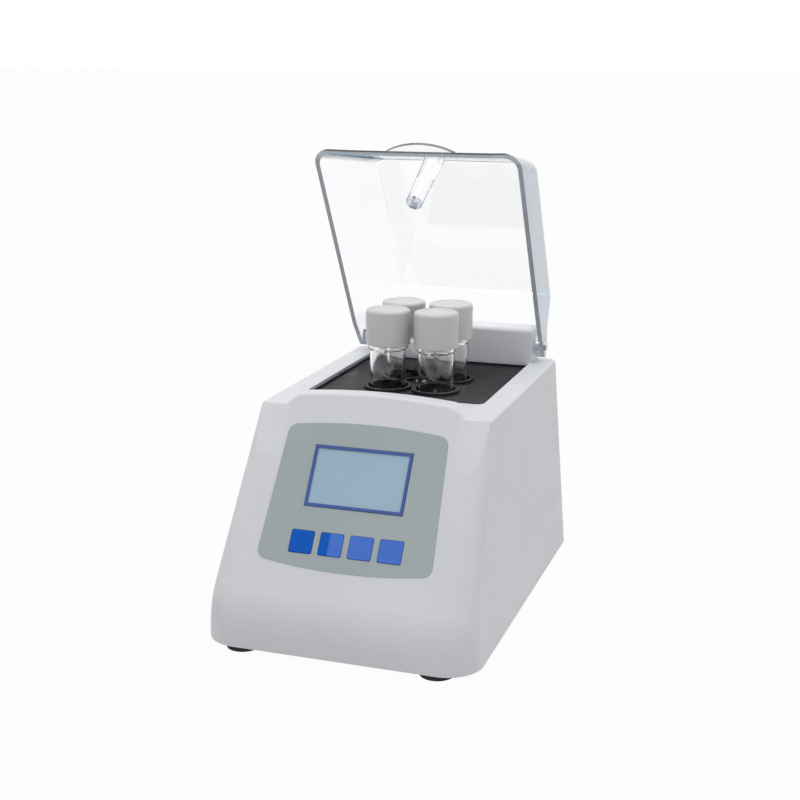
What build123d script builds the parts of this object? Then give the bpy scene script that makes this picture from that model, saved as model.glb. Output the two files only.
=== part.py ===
from build123d import *

import os
from math import cos, radians, sin, sqrt, tan

# Chemical oxygen demand reactor: a wedge-fronted bench heater for digestion
# vials, with a clear splash lid.  Millimetres.  +Z is up, the control panel
# faces -Y and +X is to the right of someone facing the panel.  The origin is
# under the middle of the whole object, with the lid open as it is stored.

# ---------------------------------------------------------------- housing
floor_gap = 4.0  # height of the feet under the housing
housing_height = 153.5
housing_depth = 297.0
bottom_half_width = 100.0
top_half_width = 86.5
wall = 3.0
top_wall = 3.2
face_angle = 56.5  # slope of the front face above the horizontal
skirt_height = 27.0  # where the upright skirt and the face would meet
skirt_blend = 45.0  # radius that joins the skirt to the face
blend_steps = 6
front_corner_bottom = 26.0
front_corner_top = 7.0
rear_corner_bottom = 18.0
rear_corner_top = 9.0
top_edge_radius = 1.6

# Raised brow at the front of the top
brow_half_width = 68.0
brow_shoulder_inset = 11.0
brow_shoulder_height = 7.6
brow_crown_rise = 2.9  # crown above the shoulders
brow_ledge = 13.0  # depth of the ledge behind the brow's crown
brow_blend = 6.0
brow_crest_radius = 2.5
brow_rear_radius = 1.5

# Shallow step at each side of the face, deepest at the top edge
step_inset = 6.0  # middle of the step's slope inside the brow's foot
step_blend = 8.0  # width of the step's slope
step_depth = 3.0
step_reach = 38.1  # length of the step below the top edge
step_length = 60.0  # length of the cut that makes it
step_foot_depth = 0.02

# Opening in the top, over the vials
opening_side = 18.0  # from the top edge at each side
opening_front = 129.0
opening_from_rear = 24.0
opening_corner = 6.0

# ---------------------------------------------------------------- front panel
panel_below_top = 13.9  # along the face, from its top edge
panel_length = 97.6
panel_top_half_width = 59.2
panel_bottom_half_width = 63.9
panel_bow_top = 4.3
panel_bow_bottom = 5.2
panel_corner = 7.0
panel_recess = 0.5
panel_thickness = 0.9
display_width = 72.4
display_height = 44.6
display_drop = 35.9  # middle of the display below the panel's top corners
bezel_border = 2.1
bezel_proud = 0.5
bezel_corner = 0.8
glass_thickness = 1.4
glass_recess = 0.8
seat_gap = 0.05  # around a seated or pressed piece
window_gap = 0.3
key_count = 4
key_width = 16.8
key_height = 16.1
key_rise = 13.6  # middle of the keys above the panel's bottom corners
key_corner = 1.6
key_proud = 0.5
key_flange = 1.2
key_flange_margin = 1.6
key_flange_gap = 1.7  # between the flanges of two keys
key_travel = 0.5
key_stem_radius = 2.2
key_stem_length = 1.6
key_edge = 0.5
moving_gap = 0.3  # between pieces that move past one another

# ---------------------------------------------------------------- electronics
board_thickness = 1.6
module_depth = 7.0
module_gap = 0.4  # between the front wall and the display module
module_margin = 2.5
control_board_width = 116.0
control_board_height = 96.0
control_board_drop = 2.2  # middle of the board below the panel's middle
standoff_radius = 3.0
standoff_inset = 5.0
screw_radius = 1.5
screw_head_radius = 2.8
screw_head_height = 1.8
switch_width = 6.0
switch_body_height = 2.0
plunger_radius = 1.7
screw_grip = 5.0  # depth of a screw in its post
socket_radius = 1.4
socket_depth = 1.0
chip_size = (14.0, 14.0, 2.0)
capacitor_radius = 6.0
capacitor_height = 18.0
power_board_width = 100.0
power_board_depth = 70.0
power_board_front = 42.0
power_board_lift = 8.0
transformer_size = (38.0, 34.0, 26.0)
relay_size = (24.0, 40.0, 18.0)

# ---------------------------------------------------------------- vials
rows_ahead = 8.0  # middle of the vials in front of the opening's middle
vial_radius = 14.0
vial_wall = 1.8
vial_corner = 9.0
vial_insertion = 64.0  # depth below the deck
vial_shoulder_height = 30.9  # underside of the glass ring above the deck
neck_inset = 0.8
ring_margin = 1.2
ring_height = 2.4
cap_ring_gap = 0.7
cap_wall = 3.5
cap_height = 26.8
cap_top_wall = 3.0
cap_edge = 2.6
cap_dish_radius = 12.6
cap_dish_depth = 0.5
liner_thickness = 1.5

# ---------------------------------------------------------------- deck
deck_thickness = 3.0
deck_margin = 10.0
deck_hole_gap = 1.5
collar_width = 3.5
collar_gap = 0.5  # between two collars
collar_edge = 0.6
collar_height = 1.6
deck_lip_gap = 0.6
deck_lip_width = 1.4
deck_lip_height = 1.2
deck_screw_inset = 5.0
spacer_radius = 5.0
boss_radius = 4.5

# ---------------------------------------------------------------- heating unit
well_gap = 0.5
well_floor_gap = 0.3
block_margin = 9.25  # metal outside the wells
block_floor = 8.0
block_below_deck = 7.0
heater_thickness = 3.0
jacket_wall = 12.0
cutout_radius = 8.0
cutout_height = 5.0
sensor_radius = 2.5
sensor_length = 40.0
sensor_below_top = 38.0
probe_gap = 0.1
pillar_radius = 4.0
pillar_inset = 10.0

# ---------------------------------------------------------------- hinge
block_overhang = 1.8  # block end outside the opening's side
block_above_hinge = 15.4
block_depth = 21.5
block_edge = 4.0
hinge_from_rear = 15.4
hinge_rise = 13.1  # above the housing's top
pin_radius = 2.5
pin_inner_reach = 12.0
pin_head_radius = 3.4
pin_head_thickness = 1.0
pin_running_gap = 0.05
bush_radius = 4.5
bush_flange_radius = 6.5
bush_flange_thickness = 2.4
bush_length = 14.0
hinge_screw_side = 45.0
hinge_screw_grip = 10.0
lid_open_angle = 60.8  # as stored, from closed

# ---------------------------------------------------------------- lid
lid_side_inset = 5.6  # rim inside the housing's top edge at each side
lid_setback = 4.7  # rim behind the housing's front top edge when shut
rim_gap = 0.9  # between the rim and the housing's top when shut
lid_height = 84.0
lid_side_taper = 0.139
lid_front_rake = 35.4
lid_rear = 2.0  # rear edge behind the hinge
lid_wall = 3.5
lid_corner = 14.0
lid_edge = 9.0
lid_gap = 0.8
ear_radius = 9.0
ear_rise = 26.0
ear_relief = 23.0
tab_half_width = 27.0
tab_thickness = 3.0
tab_rise = 11.0
tab_depth = 7.1
post_radius = 6.3
post_base_radius = 8.2
post_tip_gap = 0.3  # post tip inside the plane of the rim
post_offset = -7.0
post_from_rim = 46.4  # axis behind the front of the rim

# ---------------------------------------------------------------- tray, feet
tray_thickness = 2.0
tray_gap = 0.4
foot_radius = 12.0
foot_top_radius = 10.5
foot_recess = 2.4
foot_recess_radius = 3.6
foot_inset = 29.0
foot_front = 13.5
foot_from_rear = 25.0
vent_width = 3.0
vent_length = 44.0
vent_pitch = 9.0
vent_count = 7
rear_vent_height = 108.0
base_screw_inset = 16.0
base_screw_front = 46.0
base_screw_from_rear = 47.0
base_boss_height = 12.0

# ---------------------------------------------------------------- mains inlet
inlet_place = (-44.0, 44.0)
inlet_flange = (50.0, 28.0)
inlet_flange_thickness = 2.5
inlet_body = (28.0, 20.0)
inlet_depth = 24.0
inlet_socket = (24.4, 16.4)
inlet_socket_depth = 17.0
inlet_screw_pitch = 40.0
contact_size = (2.0, 4.0)
contact_length = 11.0
tail_length = 8.0
socket_chamfer = 4.5
contact_spread = 7.0
contact_drop = 2.6
switch_place = (20.0, 44.0)
switch_flange = (21.0, 28.0)
switch_bezel_thickness = 2.0
switch_body = (18.4, 25.0)
switch_depth = 20.0
rocker_size = (12.0, 18.6)
rocker_gap = 0.5
rocker_tilt = 7.0  # as modelled, switched off
rocker_proud = 2.6
rocker_valley = 1.6
rocker_depth = 6.0
rocker_pin_radius = 1.5
rocker_floor = 9.0

# ================================================================ derived sizes
slope = radians(face_angle)
rake = radians(lid_front_rake)
open_angle = radians(lid_open_angle)
hinge_from_front = housing_depth - hinge_from_rear
hinge_height = housing_height + hinge_rise
rim_below_hinge = hinge_rise - rim_gap
overall_depth = (
    hinge_from_front
    + lid_rear * cos(open_angle)
    + (lid_height - rim_below_hinge) * sin(open_angle)
)
front = -overall_depth / 2
rear = front + housing_depth
base = floor_gap
top = base + housing_height
deck_top = top - top_wall
deck_under = deck_top - deck_thickness
lean = (bottom_half_width - top_half_width) / housing_height
hole_radius = screw_radius + seat_gap
face_height = housing_height / sin(slope)
face_depth = (housing_height - skirt_height) / tan(slope)

# Places along the face, from the foot of its plane
panel_top = face_height - panel_below_top
panel_bottom = panel_top - panel_length
display_middle = panel_top - display_drop
key_middle = panel_bottom + key_rise
key_pitch = key_width + 2 * key_flange_margin + key_flange_gap
control_board_middle = (panel_top + panel_bottom) / 2 - control_board_drop
step_start = face_height - step_reach

# Widths and places that follow the housing
brow_shoulder_half_width = brow_half_width - brow_shoulder_inset
brow_crown_height = brow_shoulder_height + brow_crown_rise
step_half_width = brow_half_width - step_inset
opening_half_width = top_half_width - opening_side
opening_rear = housing_depth - opening_from_rear
opening_middle = front + (opening_front + opening_rear) / 2
rows_middle = opening_middle - rows_ahead
block_half_width = opening_half_width + block_overhang
block_height = hinge_rise + block_above_hinge
foot_side = bottom_half_width - foot_inset
foot_rear = housing_depth - foot_from_rear
base_screw_side = bottom_half_width - base_screw_inset
base_screw_rear = housing_depth - base_screw_from_rear

# The lid
lid_half_width = top_half_width - lid_side_inset
lid_reach = hinge_from_front - face_depth - lid_setback
post_from_hinge = lid_reach - post_from_rim
tab_foot = lid_reach - (tab_rise + tab_thickness / 2) * tan(rake)
tab_reach = tab_foot + tab_depth

# The vials and what holds them
neck_radius = vial_radius - neck_inset
ring_radius = vial_radius + ring_margin
cap_bore = neck_radius + moving_gap
cap_radius = cap_bore + cap_wall
well_radius = vial_radius + well_gap
deck_hole_radius = vial_radius + deck_hole_gap
vial_pitch = 2 * (deck_hole_radius + collar_width) + collar_gap
block_side = vial_pitch + 2 * (well_radius + block_margin)

# Heights of the glass and of what heats it
vial_bottom = deck_top - vial_insertion
ring_bottom = deck_top + vial_shoulder_height
ring_top = ring_bottom + ring_height
cap_bottom = ring_top + cap_ring_gap
cap_top = cap_bottom + cap_height
liner_top = cap_top - cap_top_wall
liner_bottom = liner_top - liner_thickness
vial_top = liner_bottom - moving_gap
block_top = deck_under - block_below_deck
well_bottom = vial_bottom - well_floor_gap
block_bottom = well_bottom - block_floor
heater_bottom = block_bottom - heater_thickness
jacket_bottom = heater_bottom - jacket_wall
jacket_side = block_side + 2 * jacket_wall
block_seat = block_side + 2 * seat_gap
jacket_rear = rows_middle + jacket_side / 2
sensor_height = block_top - sensor_below_top
tray_top = base + tray_thickness

# Depths behind the plane of the sloping face, negative inwards
panel_face = panel_thickness - panel_recess
bezel_face = panel_face + bezel_proud
glass_face = bezel_face - glass_recess
module_face = -wall - module_gap
board_face = module_face - module_depth
flange_face = -wall - moving_gap
flange_back = flange_face - key_flange
stem_end = flange_back - key_stem_length
plunger_face = stem_end - key_travel - moving_gap
board_back = board_face - board_thickness

# The plane of the sloping face: local X runs right, local Y up the slope
face_foot = Vector(0, front - skirt_height / tan(slope), base)
face = Plane(face_foot, x_dir=(1, 0, 0), z_dir=(0, -sin(slope), cos(slope)))

# The lid's own frame: local Y runs to its hinge side, local Z away from its rim
hinge = Vector(0, front + hinge_from_front, base + hinge_height)
lid_frame = Plane(hinge, x_dir=(1, 0, 0), z_dir=(0, sin(open_angle), cos(open_angle)))
lid_rim = -rim_below_hinge
lid_top = lid_height - rim_below_hinge
rear_wall_plane = Plane((0, rear, base), x_dir=(-1, 0, 0), z_dir=(0, 1, 0))
upside_down = Rot(180, 0, 0)

os.makedirs("parts", exist_ok=True)


def save(builder, name):
    """Label one finished piece and write it under its name."""
    builder.part.label = name
    export_step(builder.part, f"parts/{name}.step")


def placed(shape, plane, points):
    """Copies of one shape at points given in a plane's own coordinates."""
    return [plane.location * Location(point) * shape for point in points]


def four_points(width, depth, middle=(0, 0), height=0.0):
    """Corners of a rectangle, as points at one height."""
    return [
        (middle[0] + x * width / 2, middle[1] + y * depth / 2, height)
        for x in (-1, 1)
        for y in (-1, 1)
    ]


def screw(grip):
    """Round-headed screw pointing up, its seat at local Z zero."""
    with BuildPart() as piece:
        Cylinder(
            screw_head_radius,
            screw_head_height,
            align=(Align.CENTER, Align.CENTER, Align.MAX),
        )
        fillet(piece.edges().sort_by(Axis.Z)[0], socket_depth / 2)
        Cylinder(screw_radius, grip, align=(Align.CENTER, Align.CENTER, Align.MIN))
        with BuildSketch(Plane.XY.offset(-screw_head_height)):
            RegularPolygon(socket_radius, 6)
        extrude(amount=socket_depth, mode=Mode.SUBTRACT)
    return piece.part


def face_front(z):
    """Distance of the front outline behind the skirt at a height."""
    blend = skirt_blend * tan((radians(90) - slope) / 2)
    start = skirt_height - blend
    end = skirt_height + blend * sin(slope)
    if z <= start:
        return 0.0
    if z < end:
        return skirt_blend - sqrt(skirt_blend**2 - (z - start) ** 2)
    return (z - skirt_height) / tan(slope)


def housing_outline(z, inset=0.0):
    """Rounded outline of the housing at a height above its bottom edge."""
    share = z / housing_height
    half_width = bottom_half_width - lean * z
    front_radius = front_corner_bottom + (front_corner_top - front_corner_bottom) * share
    rear_radius = rear_corner_bottom + (rear_corner_top - rear_corner_bottom) * share
    near = front + face_front(z) + inset / sin(slope)
    far = rear - inset
    with BuildSketch(Plane.XY.offset(base + z)) as outline:
        with Locations((0, (near + far) / 2)):
            Rectangle(2 * (half_width - inset), far - near)
        fillet(outline.vertices().group_by(Axis.Y)[0], max(front_radius - inset, wall))
        fillet(outline.vertices().group_by(Axis.Y)[-1], max(rear_radius - inset, wall))
    return outline.sketch


def housing_block(inset=0.0, high=housing_height):
    """Solid wedge body up to a height, drawn in by the inset."""
    blend = skirt_blend * tan((radians(90) - slope) / 2)
    start = skirt_height - blend
    end = skirt_height + blend * sin(slope)
    steps = [start + (end - start) * i / blend_steps for i in range(blend_steps + 1)]
    with BuildPart() as block:
        loft([housing_outline(0, inset), housing_outline(start, inset)], ruled=True)
        loft([housing_outline(z, inset) for z in steps])
        loft([housing_outline(end, inset), housing_outline(high, inset)], ruled=True)
    return block.part


def brow_profile(floor, clearance=0.0):
    """Outline of the brow seen from the front, its foot at local Y zero."""
    with BuildSketch() as profile:
        with BuildLine():
            Polyline(
                (-brow_half_width, floor),
                (-brow_half_width, 0),
                (-brow_shoulder_half_width, brow_shoulder_height),
            )
            ThreePointArc(
                (-brow_shoulder_half_width, brow_shoulder_height),
                (0, brow_crown_height),
                (brow_shoulder_half_width, brow_shoulder_height),
            )
            Polyline(
                (brow_shoulder_half_width, brow_shoulder_height),
                (brow_half_width, 0),
                (brow_half_width, floor),
                (-brow_half_width, floor),
            )
        make_face()
        shoulders = profile.vertices().filter_by_position(
            Axis.Y, brow_shoulder_height - 0.1, brow_shoulder_height + 0.1
        )
        fillet(shoulders, brow_blend)
        if clearance:
            offset(amount=clearance)
    return profile.sketch


def panel_outline():
    """Overlay outline on the face: a tapered shape with bowed ends."""
    with BuildSketch() as outline:
        with BuildLine():
            ThreePointArc(
                (-panel_top_half_width, panel_top),
                (0, panel_top + panel_bow_top),
                (panel_top_half_width, panel_top),
            )
            Line((panel_top_half_width, panel_top), (panel_bottom_half_width, panel_bottom))
            ThreePointArc(
                (panel_bottom_half_width, panel_bottom),
                (0, panel_bottom - panel_bow_bottom),
                (-panel_bottom_half_width, panel_bottom),
            )
            Line((-panel_bottom_half_width, panel_bottom), (-panel_top_half_width, panel_top))
        make_face()
        fillet(outline.vertices(), panel_corner)
    return outline.sketch


def front_windows(gap):
    """Display and key openings, each larger than its piece by a gap all round."""
    with BuildSketch() as windows:
        with Locations((0, display_middle)):
            Rectangle(display_width + 2 * gap, display_height + 2 * gap)
        with Locations((0, key_middle)):
            with GridLocations(key_pitch, 1, key_count, 1):
                RectangleRounded(key_width + 2 * gap, key_height + 2 * gap, key_corner)
    return windows.sketch


def lid_outline(z, inset=0.0, extra=0.0):
    """Outline of the lid at a height in its own frame, open at the hinge side."""
    rise = z - lid_rim
    half_width = lid_half_width - lid_side_taper * rise - inset
    near = -lid_reach + rise * tan(rake) + inset / cos(rake)
    far = lid_rear + extra
    with BuildSketch(Plane.XY.offset(z)) as outline:
        with Locations((0, (near + far) / 2)):
            Rectangle(2 * half_width, far - near)
        fillet(outline.vertices().group_by(Axis.Y)[0], lid_corner - inset)
    return outline.sketch


def lid_block(inset, low, high, extra):
    """Solid lid form between two heights in its own frame."""
    with BuildPart() as block:
        loft([lid_outline(low, inset, extra), lid_outline(high, inset, extra)], ruled=True)
        rim = block.faces().sort_by(Axis.Z)[-1].edges().sort_by(Axis.Y)[:-1]
        fillet(rim, lid_edge - inset)
    return block.part


def ear_side():
    """Side view of the lid near its hinge, local X to the rear and local Y up."""
    with BuildSketch() as side:
        with BuildSketch(mode=Mode.PRIVATE) as wall_part:
            with Locations((lid_rear, ear_rise)):
                Rectangle(
                    ear_relief + lid_rear, lid_height, align=(Align.MAX, Align.MIN)
                )
        with BuildSketch(mode=Mode.PRIVATE) as ear:
            with BuildLine():
                CenterArc((0, 0), ear_radius, 0, 360)
                Polyline(
                    (-ear_relief, lid_rim),
                    (-ear_relief, ear_rise),
                    (lid_rear, ear_rise),
                )
            make_hull()
        add(wall_part.sketch)
        add(ear.sketch)
    return side.sketch


# ================================================================ housing
panel_shape = panel_outline()
base_screw_points = four_points(
    2 * base_screw_side,
    base_screw_rear - base_screw_front,
    (0, front + (base_screw_rear + base_screw_front) / 2),
)
deck_half_width = opening_half_width + deck_margin
deck_front = front + opening_front - deck_margin
deck_rear = front + opening_rear + deck_margin
deck_middle = (deck_front + deck_rear) / 2
deck_screw_points = four_points(
    2 * (deck_half_width - deck_screw_inset),
    deck_rear - deck_front - 2 * deck_screw_inset,
    (0, deck_middle),
)
hinge_screw_row = deck_rear + screw_head_radius + deck_screw_inset / 4
hinge_screw_points = [(x, hinge_screw_row, 0) for x in (-hinge_screw_side, hinge_screw_side)]
board_points = four_points(
    control_board_width - 2 * standoff_inset,
    control_board_height - 2 * standoff_inset,
    (0, control_board_middle),
)
web_end = bottom_half_width - lean * (tray_thickness + base_boss_height) - wall / 2
brow_front = front + face_depth
brow_back = brow_front + brow_crown_height / tan(slope) + brow_ledge
step_foot = (step_start, step_foot_depth)
step_head = (step_start + step_length, step_depth * step_length / step_reach)
step_inner = step_half_width - step_blend / 2
step_outer = step_half_width + step_blend / 2
far_side = bottom_half_width + wall

with BuildPart() as inner_form:
    add(housing_block(wall, housing_height - top_wall))
    # Keeps the wall's thickness behind the steps
    corners = [
        face.from_local_coords(point)
        for point in (
            (0, step_start, wall),
            (0, step_start, -wall),
            (0, face_height, -wall - step_depth),
            (0, face_height, wall),
        )
    ]
    for side in (-1, 1):
        with BuildSketch(Plane.YZ.offset(side * step_inner)):
            with BuildLine():
                Polyline([(corner.Y, corner.Z) for corner in corners], close=True)
            make_face()
        extrude(amount=side * far_side, mode=Mode.SUBTRACT)

with BuildPart() as housing:
    add(housing_block())
    # Raised brow, cut back to the plane of the face
    with BuildSketch(
        Plane((0, brow_front - 2 * wall, top), x_dir=(1, 0, 0), z_dir=(0, -1, 0))
    ):
        add(brow_profile(-top_wall))
    extrude(amount=-(brow_back - brow_front + 2 * wall))
    crest = face.from_local_coords((0, face_height + step_length, 0))
    heel = face.from_local_coords((0, face_height - step_length, 0))
    with BuildSketch(Plane.YZ.offset(-far_side)):
        with BuildLine():
            Polyline(
                (heel.Y, heel.Z),
                (crest.Y, crest.Z),
                (heel.Y - 4 * wall, crest.Z),
                (heel.Y - 4 * wall, heel.Z),
                close=True,
            )
        make_face()
    extrude(amount=2 * far_side, mode=Mode.SUBTRACT)
    # Steps that leave the middle of the face standing proud
    for side in (-1, 1):
        for height, depth in (step_foot, step_head):
            across = Plane(
                face.from_local_coords((0, height, 0)),
                x_dir=(side, 0, 0),
                z_dir=Vector(side, 0, 0).cross(face.z_dir),
            )
            with BuildSketch(across):
                with BuildLine():
                    Spline(
                        (step_inner, 0), (step_outer, -depth), tangents=((1, 0), (1, 0))
                    )
                    Polyline(
                        (step_outer, -depth),
                        (far_side, -depth),
                        (far_side, wall),
                        (step_inner, wall),
                        (step_inner, 0),
                    )
                make_face()
        loft(ruled=True, mode=Mode.SUBTRACT)
    # Rounded top edge, then the brow's crest and rear edge
    top_edges, crest_edges = [], []
    for edge in housing.edges():
        box = edge.bounding_box()
        if abs(box.min.Z - top) < seat_gap and box.size.Z < seat_gap:
            on_foot = box.size.X < seat_gap and abs(abs(box.max.X) - brow_half_width) < seat_gap
            on_rear = abs(box.min.Y - brow_back) < seat_gap and box.size.Y < seat_gap
            if not on_foot and not on_rear:
                top_edges.append(edge)
    fillet(top_edges, top_edge_radius)
    for edge in housing.edges():
        box = edge.bounding_box()
        ahead = brow_front + moving_gap < box.min.Y and box.max.Y < brow_back - brow_ledge / 2
        wide = box.size.X > moving_gap
        inside = max(abs(box.min.X), abs(box.max.X)) < brow_half_width + wall / 2
        if box.max.Z > top + seat_gap and ahead and wide and inside:
            crest_edges.append(edge)
    fillet(crest_edges, brow_crest_radius)
    rear_edges = [
        edge
        for edge in housing.edges()
        if edge.bounding_box().max.Z > top + moving_gap
        and abs(edge.bounding_box().min.Y - brow_back) < seat_gap
        and edge.bounding_box().size.Y < seat_gap
    ]
    fillet(rear_edges, brow_rear_radius)
    add(inner_form.part, mode=Mode.SUBTRACT)
    # Opening over the vials
    with BuildSketch(Plane.XY.offset(top)):
        with Locations((0, opening_middle)):
            RectangleRounded(
                2 * opening_half_width, opening_rear - opening_front, opening_corner
            )
    extrude(amount=-2 * top_wall, mode=Mode.SUBTRACT)
    # Recess and windows for the front panel
    with BuildSketch(face):
        add(panel_shape)
        offset(amount=seat_gap)
    extrude(amount=-panel_recess, mode=Mode.SUBTRACT)
    with BuildSketch(face):
        add(front_windows(window_gap))
    extrude(amount=-2 * wall, mode=Mode.SUBTRACT)
    # Openings in the rear wall
    with BuildSketch(rear_wall_plane):
        with Locations((-inlet_place[0], inlet_place[1])):
            Rectangle(*inlet_body)
            with GridLocations(inlet_screw_pitch, 1, 2, 1):
                Circle(hole_radius)
        with Locations((-switch_place[0], switch_place[1])):
            Rectangle(*switch_body)
        with Locations((0, rear_vent_height)):
            with GridLocations(vent_pitch, 1, vent_count, 1):
                SlotOverall(vent_length / 2, vent_width, rotation=90)
    extrude(amount=-2 * wall, mode=Mode.SUBTRACT)
    # Screw holes in the top wall, for the deck and for the hinge block
    with BuildSketch(Plane.XY.offset(deck_top)):
        with Locations(*[point[:2] for point in deck_screw_points]):
            Circle(hole_radius)
    extrude(amount=top_wall / 2, mode=Mode.SUBTRACT)
    with BuildSketch(Plane.XY.offset(deck_top)):
        with Locations(*[point[:2] for point in hinge_screw_points]):
            Circle(hole_radius)
    extrude(amount=top_wall, mode=Mode.SUBTRACT)
    # Posts beside the side walls, for the screws of the bottom tray
    with BuildSketch(Plane.XY.offset(tray_top)):
        with Locations(*[point[:2] for point in base_screw_points]):
            Circle(boss_radius)
        for x, y, _ in base_screw_points:
            with Locations(((abs(x) + web_end) / 2 * (1 if x > 0 else -1), y)):
                Rectangle(web_end - abs(x), boss_radius)
    extrude(amount=base_boss_height)
    with BuildSketch(Plane.XY.offset(tray_top)):
        with Locations(*[point[:2] for point in base_screw_points]):
            Circle(hole_radius)
    extrude(amount=base_boss_height - wall, mode=Mode.SUBTRACT)
save(housing, "housing")

# ================================================================ bottom tray
pillar_points = four_points(
    jacket_side - 2 * pillar_inset, jacket_side - 2 * pillar_inset, (0, rows_middle)
)
foot_points = four_points(
    2 * foot_side, foot_rear - foot_front, (0, front + (foot_rear + foot_front) / 2)
)
power_middle = (0, front + power_board_front + power_board_depth / 2)
power_points = four_points(
    power_board_width - 2 * standoff_inset,
    power_board_depth - 2 * standoff_inset,
    power_middle,
)
tray_holes = base_screw_points + pillar_points + foot_points

with BuildPart() as base_tray:
    loft(
        [housing_outline(z, wall + tray_gap) for z in (0, tray_thickness)],
        ruled=True,
    )
    with BuildSketch(Plane.XY.offset(base)):
        with Locations(*[point[:2] for point in tray_holes]):
            Circle(hole_radius)
        with Locations((0, rows_middle)):
            with GridLocations(vent_pitch, vent_length * 1.25, vent_count, 2):
                SlotOverall(vent_length, vent_width, rotation=90)
    extrude(amount=tray_thickness, mode=Mode.SUBTRACT)
save(base_tray, "base_tray")

with BuildPart() as foot_form:
    Cone(
        foot_radius,
        foot_top_radius,
        floor_gap,
        align=(Align.CENTER, Align.CENTER, Align.MIN),
    )
    Cylinder(
        foot_recess_radius,
        foot_recess,
        align=(Align.CENTER, Align.CENTER, Align.MIN),
        mode=Mode.SUBTRACT,
    )
    Cylinder(
        hole_radius,
        floor_gap,
        align=(Align.CENTER, Align.CENTER, Align.MIN),
        mode=Mode.SUBTRACT,
    )

with BuildPart() as feet:
    add(placed(foot_form.part, Plane.XY, foot_points))
save(feet, "feet")

foot_screw = screw(base - foot_recess + tray_thickness + screw_grip)
with BuildPart() as foot_screws:
    add(placed(foot_screw, Plane.XY.offset(foot_recess), foot_points))
save(foot_screws, "foot_screws")

base_screw = screw(tray_thickness + screw_grip)
with BuildPart() as base_screws:
    add(placed(base_screw, Plane.XY.offset(base), base_screw_points + pillar_points))
save(base_screws, "base_screws")

# ================================================================ front panel
with BuildPart() as panel_overlay:
    with BuildSketch(face.offset(-panel_recess)):
        add(panel_shape)
        add(front_windows(window_gap), mode=Mode.SUBTRACT)
    extrude(amount=panel_thickness)
save(panel_overlay, "panel_overlay")

inner_display = (display_width - 2 * bezel_border, display_height - 2 * bezel_border)
with BuildPart() as display_bezel:
    with BuildSketch(face.offset(module_face)):
        with Locations((0, display_middle)):
            RectangleRounded(display_width, display_height, bezel_corner)
            Rectangle(*inner_display, mode=Mode.SUBTRACT)
    extrude(amount=bezel_face - module_face)
save(display_bezel, "display_bezel")

with BuildPart() as display_glass:
    with BuildSketch(face.offset(glass_face - glass_thickness)):
        with Locations((0, display_middle)):
            Rectangle(inner_display[0] - 2 * seat_gap, inner_display[1] - 2 * seat_gap)
    extrude(amount=glass_thickness)
save(display_glass, "display_glass")

with BuildPart() as display_module:
    with BuildSketch(face.offset(board_face)):
        with Locations((0, display_middle)):
            Rectangle(display_width + 2 * module_margin, display_height + 2 * module_margin)
    extrude(amount=module_depth)
    with BuildSketch(face.offset(module_face)):
        with Locations((0, display_middle)):
            Rectangle(inner_display[0] - 2 * seat_gap, inner_display[1] - 2 * seat_gap)
    extrude(amount=glass_face - glass_thickness - module_face)
save(display_module, "display_module")

for number in range(key_count):
    key_x = (number - (key_count - 1) / 2) * key_pitch
    with BuildPart() as key:
        with BuildSketch(face.offset(flange_back)):
            with Locations((key_x, key_middle)):
                Rectangle(key_width + 2 * key_flange_margin, key_height + 2 * key_flange_margin)
        extrude(amount=key_flange)
        with BuildSketch(face.offset(flange_face)):
            with Locations((key_x, key_middle)):
                RectangleRounded(key_width, key_height, key_corner)
        extrude(amount=panel_face + key_proud - flange_face)
        outward = Axis(face_foot, face.z_dir)
        fillet(key.faces().sort_by(outward)[-1].edges(), key_edge)
        with BuildSketch(face.offset(flange_back)):
            with Locations((key_x, key_middle)):
                Circle(key_stem_radius)
        extrude(amount=-key_stem_length)
    save(key, f"key_{number + 1}")

# ================================================================ control board
with BuildPart() as control_board:
    with BuildSketch(face.offset(board_back)):
        with Locations((0, control_board_middle)):
            Rectangle(control_board_width, control_board_height)
        with Locations(*[point[:2] for point in board_points]):
            Circle(hole_radius, mode=Mode.SUBTRACT)
    extrude(amount=board_thickness)
    with BuildSketch(face.offset(board_back)):
        with Locations((0, control_board_middle)):
            Rectangle(*chip_size[:2])
        with Locations((control_board_width / 3, control_board_middle)):
            Rectangle(chip_size[0] / 2, 2 * chip_size[1])
    extrude(amount=-chip_size[2])
save(control_board, "control_board")

with BuildPart() as key_switches:
    with BuildSketch(face.offset(board_face)):
        with Locations((0, key_middle)):
            with GridLocations(key_pitch, 1, key_count, 1):
                Rectangle(switch_width, switch_width)
    extrude(amount=switch_body_height)
    with BuildSketch(face.offset(board_face)):
        with Locations((0, key_middle)):
            with GridLocations(key_pitch, 1, key_count, 1):
                Circle(plunger_radius)
    extrude(amount=plunger_face - board_face)
save(key_switches, "key_switches")

with BuildPart() as board_standoffs:
    with BuildSketch(face.offset(board_face)):
        with Locations(*[point[:2] for point in board_points]):
            Circle(standoff_radius)
    extrude(amount=-wall - board_face)
    with BuildSketch(face.offset(board_face)):
        with Locations(*[point[:2] for point in board_points]):
            Circle(hole_radius)
    extrude(amount=screw_grip + seat_gap, mode=Mode.SUBTRACT)
save(board_standoffs, "board_standoffs")

board_screw = screw(board_thickness + screw_grip)
with BuildPart() as board_screws:
    add(placed(board_screw, face.offset(board_back), board_points))
save(board_screws, "board_screws")

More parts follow.
